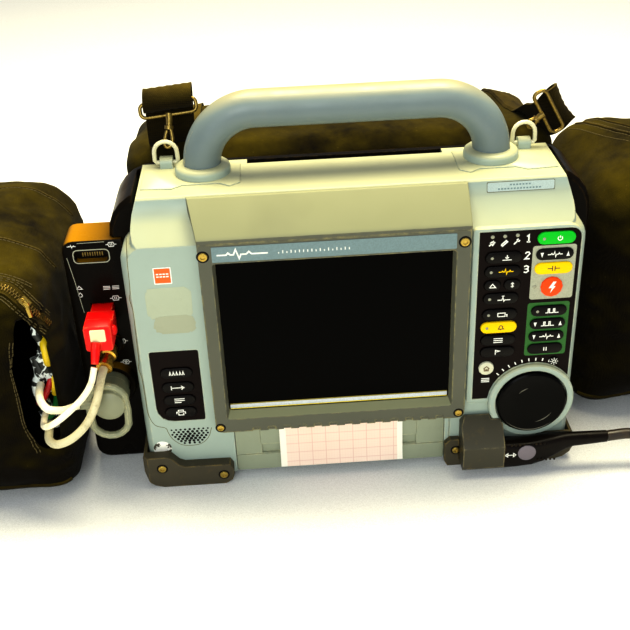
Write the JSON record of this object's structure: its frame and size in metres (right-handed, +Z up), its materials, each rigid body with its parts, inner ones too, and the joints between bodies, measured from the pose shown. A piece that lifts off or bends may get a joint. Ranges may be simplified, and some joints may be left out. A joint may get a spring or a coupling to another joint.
{
  "type": "portable monitor defibrillator",
  "caption": "Portable patient monitor and defibrillator with screen, key field, speed dial, chart printer, carrying handle, connector wing, leads and soft side and rear pouches.",
  "frame": {"origin": "middle of the unit's bounding box at the table plane, free therapy cable left out", "axes": "+X to the viewer's right along the front panel, +Y from the front panel to the back, +Z up"},
  "size_m": [0.807, 0.3337, 0.3158],
  "materials": {
    "case_plastic": "light grey moulded housing, cream where worn",
    "rear_plastic": "black moulded rear housing and connector panel",
    "bezel_plastic": "mid grey display surround",
    "screen_glass": "black cover glass",
    "lcd_frame": "display module",
    "overlay_film": "brown-black printed key film",
    "key_black": "black key",
    "key_green": "green key",
    "key_yellow": "yellow key",
    "key_orange": "orange-red key",
    "key_silver": "silver key",
    "dial_plastic": "glossy black dial",
    "shaft_steel": "encoder shaft",
    "handle_rubber": "blue-grey overmoulded grip",
    "bumper_rubber": "dark rubber corner",
    "chart_paper": "pink gridded thermal paper",
    "socket_plastic": "dark grey socket block",
    "therapy_plug_plastic": "black plug body",
    "therapy_cable_jacket": "black cable jacket",
    "spo2_plug_plastic": "red plug",
    "cream_cable_jacket": "cream jacket",
    "grey_cable_jacket": "grey jacket",
    "brass_fitting": "plated hose coupling",
    "ecg_plug_plastic": "grey plug with pull ring",
    "ring_metal": "cream metal ring",
    "pouch_fabric": "dark olive woven nylon",
    "board_green": "circuit board",
    "capacitor_sleeve": "sleeved capacitor",
    "battery_plastic": "battery pack",
    "roller_rubber": "feed roller",
    "door_plastic": "grey printer door",
    "pads_connector_plastic": "grey pads connector"
  },
  "bodies": {
    "unit": {"front_case": "case_plastic", "rear_case": "rear_plastic", "connector_panel": "rear_plastic", "display_bezel": "bezel_plastic", "display_window": "screen_glass", "lcd_module": "lcd_frame", "key_overlay_right": "overlay_film", "key_overlay_left": "overlay_film", "handle": "handle_rubber", "bumper_left": "bumper_rubber", "bumper_right": "bumper_rubber", "therapy_socket": "socket_plastic", "therapy_plug": "therapy_plug_plastic", "therapy_cable": "therapy_cable_jacket", "therapy_coil": "therapy_cable_jacket", "spo2_plug": "spo2_plug_plastic", "spo2_cable": "cream_cable_jacket", "nibp_hose": "cream_cable_jacket", "ecg_cable": "grey_cable_jacket", "nibp_fitting": "brass_fitting", "ecg_plug": "ecg_plug_plastic", "pouch_left": "pouch_fabric", "pouch_right": "pouch_fabric", "pouch_rear": "pouch_fabric", "system_board": "board_green", "energy_capacitor": "capacitor_sleeve", "pads_connector": "pads_connector_plastic"},
    "key_on": {"key_on": "key_green"},
    "key_energy": {"key_energy": "key_black"},
    "key_charge": {"key_charge": "key_yellow"},
    "key_shock": {"key_shock": "key_orange"},
    "key_cpr": {"key_cpr": "key_black"},
    "key_analyze": {"key_analyze": "key_black"},
    "key_lead": {"key_lead": "key_black"},
    "key_size": {"key_size": "key_black"},
    "key_sync": {"key_sync": "key_black"},
    "key_nibp": {"key_nibp": "key_black"},
    "key_alarms": {"key_alarms": "key_yellow"},
    "key_options": {"key_options": "key_black"},
    "key_event": {"key_event": "key_black"},
    "key_home": {"key_home": "key_silver"},
    "key_pacer": {"key_pacer": "key_black"},
    "key_rate": {"key_rate": "key_black"},
    "key_current": {"key_current": "key_black"},
    "key_pause": {"key_pause": "key_black"},
    "key_contrast": {"key_contrast": "key_black"},
    "key_twelve_lead": {"key_twelve_lead": "key_black"},
    "key_transmit": {"key_transmit": "key_black"},
    "key_summary": {"key_summary": "key_black"},
    "key_print": {"key_print": "key_black"},
    "encoder_plunger": {"encoder_plunger": "shaft_steel"},
    "speed_dial": {"speed_dial": "dial_plastic"},
    "printer_door": {"printer_door": "door_plastic", "paper_strip": "chart_paper"},
    "platen_roller": {"platen_roller": "roller_rubber"},
    "paper_roll": {"paper_roll": "chart_paper"},
    "strap_ring_left": {"strap_ring_left": "ring_metal"},
    "strap_ring_right": {"strap_ring_right": "ring_metal"},
    "battery_left": {"battery_left": "battery_plastic"},
    "battery_right": {"battery_right": "battery_plastic"}
  },
  "joints": [
    {"name": "key_on_press", "type": "slide", "parent": "unit", "child": "key_on", "axis": [0, 1, 0], "range_m": [0, 0.001], "stiffness_N_per_m": 1200},
    {"name": "key_energy_press", "type": "slide", "parent": "unit", "child": "key_energy", "axis": [0, 1, 0], "range_m": [0, 0.001], "stiffness_N_per_m": 1200},
    {"name": "key_charge_press", "type": "slide", "parent": "unit", "child": "key_charge", "axis": [0, 1, 0], "range_m": [0, 0.001], "stiffness_N_per_m": 1200},
    {"name": "key_shock_press", "type": "slide", "parent": "unit", "child": "key_shock", "axis": [0, 1, 0], "range_m": [0, 0.001], "stiffness_N_per_m": 1200},
    {"name": "key_cpr_press", "type": "slide", "parent": "unit", "child": "key_cpr", "axis": [0, 1, 0], "range_m": [0, 0.001], "stiffness_N_per_m": 1200},
    {"name": "key_analyze_press", "type": "slide", "parent": "unit", "child": "key_analyze", "axis": [0, 1, 0], "range_m": [0, 0.001], "stiffness_N_per_m": 1200},
    {"name": "key_lead_press", "type": "slide", "parent": "unit", "child": "key_lead", "axis": [0, 1, 0], "range_m": [0, 0.001], "stiffness_N_per_m": 1200},
    {"name": "key_size_press", "type": "slide", "parent": "unit", "child": "key_size", "axis": [0, 1, 0], "range_m": [0, 0.001], "stiffness_N_per_m": 1200},
    {"name": "key_sync_press", "type": "slide", "parent": "unit", "child": "key_sync", "axis": [0, 1, 0], "range_m": [0, 0.001], "stiffness_N_per_m": 1200},
    {"name": "key_nibp_press", "type": "slide", "parent": "unit", "child": "key_nibp", "axis": [0, 1, 0], "range_m": [0, 0.001], "stiffness_N_per_m": 1200},
    {"name": "key_alarms_press", "type": "slide", "parent": "unit", "child": "key_alarms", "axis": [0, 1, 0], "range_m": [0, 0.001], "stiffness_N_per_m": 1200},
    {"name": "key_options_press", "type": "slide", "parent": "unit", "child": "key_options", "axis": [0, 1, 0], "range_m": [0, 0.001], "stiffness_N_per_m": 1200},
    {"name": "key_event_press", "type": "slide", "parent": "unit", "child": "key_event", "axis": [0, 1, 0], "range_m": [0, 0.001], "stiffness_N_per_m": 1200},
    {"name": "key_home_press", "type": "slide", "parent": "unit", "child": "key_home", "axis": [0, 1, 0], "range_m": [0, 0.001], "stiffness_N_per_m": 1200},
    {"name": "key_pacer_press", "type": "slide", "parent": "unit", "child": "key_pacer", "axis": [0, 1, 0], "range_m": [0, 0.001], "stiffness_N_per_m": 1200},
    {"name": "key_rate_press", "type": "slide", "parent": "unit", "child": "key_rate", "axis": [0, 1, 0], "range_m": [0, 0.001], "stiffness_N_per_m": 1200},
    {"name": "key_current_press", "type": "slide", "parent": "unit", "child": "key_current", "axis": [0, 1, 0], "range_m": [0, 0.001], "stiffness_N_per_m": 1200},
    {"name": "key_pause_press", "type": "slide", "parent": "unit", "child": "key_pause", "axis": [0, 1, 0], "range_m": [0, 0.001], "stiffness_N_per_m": 1200},
    {"name": "key_contrast_press", "type": "slide", "parent": "unit", "child": "key_contrast", "axis": [0, 1, 0], "range_m": [0, 0.001], "stiffness_N_per_m": 1200},
    {"name": "key_twelve_lead_press", "type": "slide", "parent": "unit", "child": "key_twelve_lead", "axis": [0, 1, 0], "range_m": [0, 0.001], "stiffness_N_per_m": 1200},
    {"name": "key_transmit_press", "type": "slide", "parent": "unit", "child": "key_transmit", "axis": [0, 1, 0], "range_m": [0, 0.001], "stiffness_N_per_m": 1200},
    {"name": "key_summary_press", "type": "slide", "parent": "unit", "child": "key_summary", "axis": [0, 1, 0], "range_m": [0, 0.001], "stiffness_N_per_m": 1200},
    {"name": "key_print_press", "type": "slide", "parent": "unit", "child": "key_print", "axis": [0, 1, 0], "range_m": [0, 0.001], "stiffness_N_per_m": 1200},
    {"name": "dial_press", "type": "slide", "parent": "unit", "child": "encoder_plunger", "axis": [0, 1, 0], "range_m": [0, 0.0006], "stiffness_N_per_m": 3000},
    {"name": "dial_turn", "type": "hinge", "parent": "encoder_plunger", "child": "speed_dial", "pos_m": [0.142, -0.10026, 0.0625], "axis": [0, 1, 0], "continuous": true},
    {"name": "printer_door_hinge", "type": "hinge", "parent": "unit", "child": "printer_door", "pos_m": [-0.0164, -0.09776, 0.0085], "axis": [1, 0, 0], "range_deg": [0, 75]},
    {"name": "platen_spin", "type": "hinge", "parent": "printer_door", "child": "platen_roller", "pos_m": [-0.017, -0.08876, 0.0385], "axis": [1, 0, 0], "continuous": true},
    {"name": "paper_spin", "type": "hinge", "parent": "unit", "child": "paper_roll", "pos_m": [-0.016, -0.06026, 0.038], "axis": [1, 0, 0], "continuous": true},
    {"name": "strap_ring_left_swing", "type": "hinge", "parent": "unit", "child": "strap_ring_left", "pos_m": [-0.142, -0.02226, 0.2561], "axis": [1, 0, 0], "range_deg": [-65, 4]},
    {"name": "strap_ring_right_swing", "type": "hinge", "parent": "unit", "child": "strap_ring_right", "pos_m": [0.142, -0.02226, 0.2561], "axis": [1, 0, 0], "range_deg": [-65, 4]},
    {"name": "battery_left_slide", "type": "slide", "parent": "unit", "child": "battery_left", "axis": [0, 1, 0], "range_m": [0, 0.06]},
    {"name": "battery_right_slide", "type": "slide", "parent": "unit", "child": "battery_right", "axis": [0, 1, 0], "range_m": [0, 0.06]}
  ]
}
